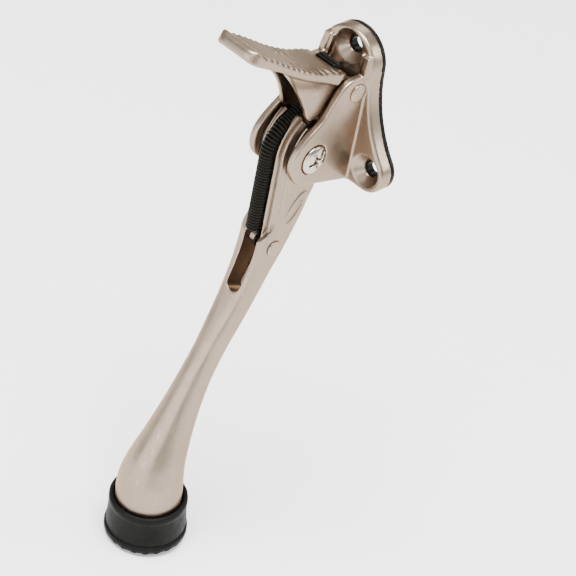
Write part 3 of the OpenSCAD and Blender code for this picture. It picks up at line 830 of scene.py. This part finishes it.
def pedal_casting():
    """The tread with its ridges, two webs under it and a hub round the pin."""
    step = 0.25
    axes = [axis_steps(-8.75, 8.75, step), axis_steps(-3.6, 54.2, step), axis_steps(-13.4, 4.8, step)]
    x, u, n = np.meshgrid(*axes, indexing="ij", sparse=True)
    side = np.abs(x)
    profile = outline_distance(tread_profile(), axes[1][:, None], axes[2][None, :])[None]
    plan = outline_distance(tread_plan(), axes[1][None, :], axes[0][:, None])[:, :, None]
    tread_edge, web_fillet, hub_fillet = 0.75, 0.9, 0.5
    tread = both(profile, plan, tread_edge)
    # ridges over the front of the tread, fading to teeth along both edges further back
    last_ridge = TREAD_LEN - 3.2
    wave = np.abs(np.cos(math.pi * (u - last_ridge) / RIDGE_PITCH))
    front = smooth(19, 30, u)
    edges = smooth(4.8, 7.2, side) * smooth(8.5, 12, u)
    below_top = n - np.interp(axes[1], TREAD_TOP[:, 0], TREAD_TOP[:, 1])[None, :, None]
    reach = np.maximum(front * smooth(-1.2, -0.4, below_top), 0.8 * edges * smooth(-0.7, -0.1, below_top))
    reach = reach * (1 - smooth(48.2, 49.2, u))
    tread = tread + RIDGE_DEPTH * wave * reach
    web_side = outline_distance(web_profile(), axes[1][:, None], axes[2][None, :])[None]
    # the webs narrow forward, and flare out into the tread
    web_t = 1.7
    outer = 5.1 + 1.5 * (1 - smooth(6, 22, u))
    flare = 2.75 * smooth(-6, 0.6, n) * smooth(8.5, 22, u)
    webs = both(web_side, slab(side, outer - web_t, outer + flare), CAST)
    hub = both(np.hypot(u, n) - HUB_R, slab(side, 3.7, 6.7), MOULDED)
    field = join(join(tread, webs, web_fillet), hub, hub_fillet)
    # a window in the tread for the rubber roll
    window = np.maximum(slab(u, 5.5, 9.95), np.maximum(side - 4.05, -n - 1.5))
    field = cut(field, window, CAST)
    field = cut(field, np.hypot(u, n) - PEDAL_PIN_R - PLAY, CRISP)
    verts, quads = surface_net(field, axes)
    quads = quads[:, ::-1]
    build("pedal_casting", from_pedal(verts), quads, "pedal", ["release_pedal"], cast_nickel)


def buffer_pad():
    """A ribbed rubber roll let into the rear of the tread."""
    ribs, around = 11, 132
    middle, size_r, rib_depth = (7.8, 3.6), 2.2, 0.5
    rings = [(-4.0, 0.0), (-4.0, 0.7), (-3.85, 0.92), (-3.5, 1.0)]
    rings += [(v, 1.0) for v in np.linspace(-3.0, 3.0, 9)] + [(-v, r) for v, r in reversed(rings)]
    verts, faces = [], []
    for x, size in rings:
        for k in range(around):
            t = 2 * math.pi * k / around
            radius = size * (size_r - rib_depth * (0.5 - 0.5 * math.cos(ribs * t)) ** 3)
            verts.append((x, middle[0] + radius * math.cos(t), middle[1] + radius * math.sin(t)))
    for i in range(len(rings) - 1):
        for k in range(around):
            j = (k + 1) % around
            faces.append((i * around + k, i * around + j, (i + 1) * around + j, (i + 1) * around + k))
    verts = from_pedal(np.array(verts))
    build("buffer_pad", verts, faces, "pedal", ["pedal_buffer"], black_rubber)


# ---------------------------------------------------------------- springs
def lift_coil():
    """A long extension spring over the arm's head, with a hook at each end."""
    wire_r, pitch, per_turn = 0.5, 1.03, 18
    coil_r = SPRING_R - wire_r
    line, top, toward = spring_path()
    free_len = 12.0                               # from where the coil leaves the head to its upper hook
    points = np.array(line + [(top[0] + free_len * toward[0], top[1] + free_len * toward[1])])
    run = np.concatenate([[0], np.cumsum(np.hypot(*np.diff(points, axis=0).T))])
    count = int(run[-1] / pitch * per_turn)
    at = np.linspace(0, run[-1], count)
    y, z = np.interp(at, run, points[:, 0]), np.interp(at, run, points[:, 1])
    ty, tz = np.gradient(y), np.gradient(z)
    size = np.hypot(ty, tz)
    ny, nz = -tz / size, ty / size
    turn = 2 * math.pi * at / pitch
    rise = coil_r * np.sin(turn)
    coil = np.stack([coil_r * np.cos(turn), y + rise * ny, z + rise * nz], 1)

    def hook(centre, pin_r, toward_coil, end):
        """An open ring round a pin, led in from the coil's end."""
        base = math.degrees(math.atan2(toward_coil[1], toward_coil[0]))
        sweep, steps = 324, 27
        ring = [(0.0, y, z) for y, z in arc(centre, pin_r + wire_r + PLAY, base, base + sweep, steps)]
        lead = np.array([end, (0.55 * end[0], 0.5 * (end[1] + ring[0][1]), 0.5 * (end[2] + ring[0][2]))])
        return np.vstack([lead, ring])

    low_to = np.array([y[0] - LOWER_PIN[0], z[0] - LOWER_PIN[1]])
    low_to /= np.hypot(*low_to)
    low = hook(LOWER_PIN, LOWER_PIN_R, low_to, coil[0])
    high = hook(PEDAL_PIN, PEDAL_PIN_R, (-toward[0], -toward[1]), coil[-1])
    path = np.vstack([low[::-1], coil[1:-1], high])
    verts, faces = wire(path, wire_r)
    # it rides no body; it runs from its straight lower run to the pedal's pin, left in the row frame, in
    # metres
    piece = build("lift_coil", verts, faces, None, ["lift_spring"], spring_steel)
    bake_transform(piece)


def return_coil():
    """A small torsion spring round the pedal's pin, with a leg to the plate and one to the pedal."""
    wire_r, coil_r, turns, count = 0.3, PEDAL_PIN_R + 0.55, 2.75, 110
    first_x, last_x, leg = -3.3, -1.9, 8.0
    turn = np.linspace(0, turns * 2 * math.pi, count)
    x = np.linspace(first_x, last_x, count)
    y, z = PEDAL_PIN[0] + coil_r * np.cos(turn), PEDAL_PIN[1] + coil_r * np.sin(turn)
    coil = np.stack([x, y, z], 1)
    away = np.linspace(0.5, leg, 10)
    first = [(first_x, PEDAL_PIN[0] + coil_r, PEDAL_PIN[1] - d) for d in away[::-1]]
    last = [(last_x, PEDAL_PIN[0] - d, PEDAL_PIN[1] - coil_r + 0.5 * d) for d in away]
    verts, faces = wire(np.vstack([first, coil, last]), wire_r)
    build("return_coil", verts, faces, "bracket", ["pedal_return_spring"], spring_steel)


# ---------------------------------------------------------------- studio
CAMERA_TARGET = (22.0, -37.8, -27.8)
CAMERA_AZIMUTH = math.radians(39.33)
CAMERA_ELEVATION = math.radians(36.73)
CAMERA_ROLL = math.radians(11.8)
CAMERA_DISTANCE = 706.4
CAMERA_LENS = 147.0
SENSOR = 36
WORLD_COLOUR = (1.0, 0.985, 0.965)
WORLD_STRENGTH = 0.82
FLOOR_TONES = (0.90, 0.93)
LIGHT_AIM = (0, -0.03, -0.03)
LIGHTS = [  # name, place, size, power
    ("front", (-0.05, -1.08, 0.12), (1.2, 0.9), 15.0),
    ("right", (0.75, -0.80, 0.5), (0.4, 0.4), 4.0),
    ("top", (0.1, -0.15, 1.1), (0.9, 0.7), 54.0),
    ("back right", (0.75, 0.75, 0.45), (0.5, 0.5), 8.0),
    ("back left", (-0.4, 0.75, 0.7), (0.4, 0.3), 2.5)]


def camera():
    """The photo's view: az and el seen from the target, then a roll about the line of sight."""
    az, el = CAMERA_AZIMUTH, CAMERA_ELEVATION
    back = Vector((math.sin(az) * math.cos(el), -math.cos(az) * math.cos(el), math.sin(el)))
    level = Vector((math.cos(az), math.sin(az), 0))
    rise = back.cross(level)
    right = level * math.cos(CAMERA_ROLL) + rise * math.sin(CAMERA_ROLL)
    up = back.cross(right)
    data = bpy.data.cameras.new("camera")
    eye = bpy.data.objects.new("camera", data)
    bpy.context.scene.collection.objects.link(eye)
    place = (Vector(CAMERA_TARGET) + back * CAMERA_DISTANCE) * MM
    eye.matrix_world = Matrix(((right.x, up.x, back.x, place.x), (right.y, up.y, back.y, place.y),
                               (right.z, up.z, back.z, place.z), (0, 0, 0, 1)))
    data.sensor_width = SENSOR
    data.lens = CAMERA_LENS
    data.clip_start, data.clip_end = 0.01, 20
    bpy.context.scene.camera = eye


def floor():
    """A round pale floor under the foot."""
    size, sides = 3.0, 48
    mesh = bpy.data.meshes.new("floor")
    ring = [(size * math.cos(2 * math.pi * k / sides), size * math.sin(2 * math.pi * k / sides),
             FLOOR_Z * MM) for k in range(sides)]
    mesh.from_pydata(ring, [], [tuple(range(sides))])
    plane = bpy.data.objects.new("floor", mesh)
    bpy.context.scene.collection.objects.link(plane)
    material, nodes, links, shader, place = new_material("pale floor")
    tone = ramp(nodes, links, noise(nodes, links, place, scale=0.01, detail=3.0),
                [(0.2, (FLOOR_TONES[0],) * 3), (0.8, (FLOOR_TONES[1],) * 3)])
    links.new(tone, shader.inputs["Base Color"])
    shader.inputs["Roughness"].default_value = 0.9
    shader.inputs["Specular IOR Level"].default_value = 0.0
    mesh.materials.append(material)


def area_light(name, place, size, power):
    """A rectangular light aimed at the holder; lengths in metres, power in watts."""
    data = bpy.data.lights.new(name, "AREA")
    data.shape = "RECTANGLE"
    data.size, data.size_y = size
    data.energy = power
    lamp = bpy.data.objects.new(name, data)
    lamp.location = place
    lamp.rotation_euler = (Vector(LIGHT_AIM) - Vector(place)).to_track_quat("-Z", "Y").to_euler()
    bpy.context.scene.collection.objects.link(lamp)


def studio():
    """The world's light and the five soft lights."""
    world = bpy.data.worlds.new("studio")
    bpy.context.scene.world = world
    world.use_nodes = True
    sky = world.node_tree.nodes["Background"]
    sky.inputs["Color"].default_value = (*WORLD_COLOUR, 1)
    sky.inputs["Strength"].default_value = WORLD_STRENGTH
    for name, place, size, power in LIGHTS:
        area_light(name, place, size, power)


bracket_casting()
gasket_sheet()
pivot_screw()
barrel_nut()
washers()
rivet("pedal_rivet", PEDAL_PIN, EAR_OUT, head_r=3.1, head_h=0.6, pin_r=PEDAL_PIN_R, rides="bracket",
      nodes=["pedal_pin"])
rivet("spring_rivet", LOWER_PIN, ARM_HALF_W + 0.2, head_r=2.7, head_h=0.4, pin_r=LOWER_PIN_R, rides="arm",
      nodes=["spring_pin"])
arm_casting()
foot_cup()
pedal_casting()
buffer_pad()
lift_coil()
return_coil()
camera()
floor()
studio()
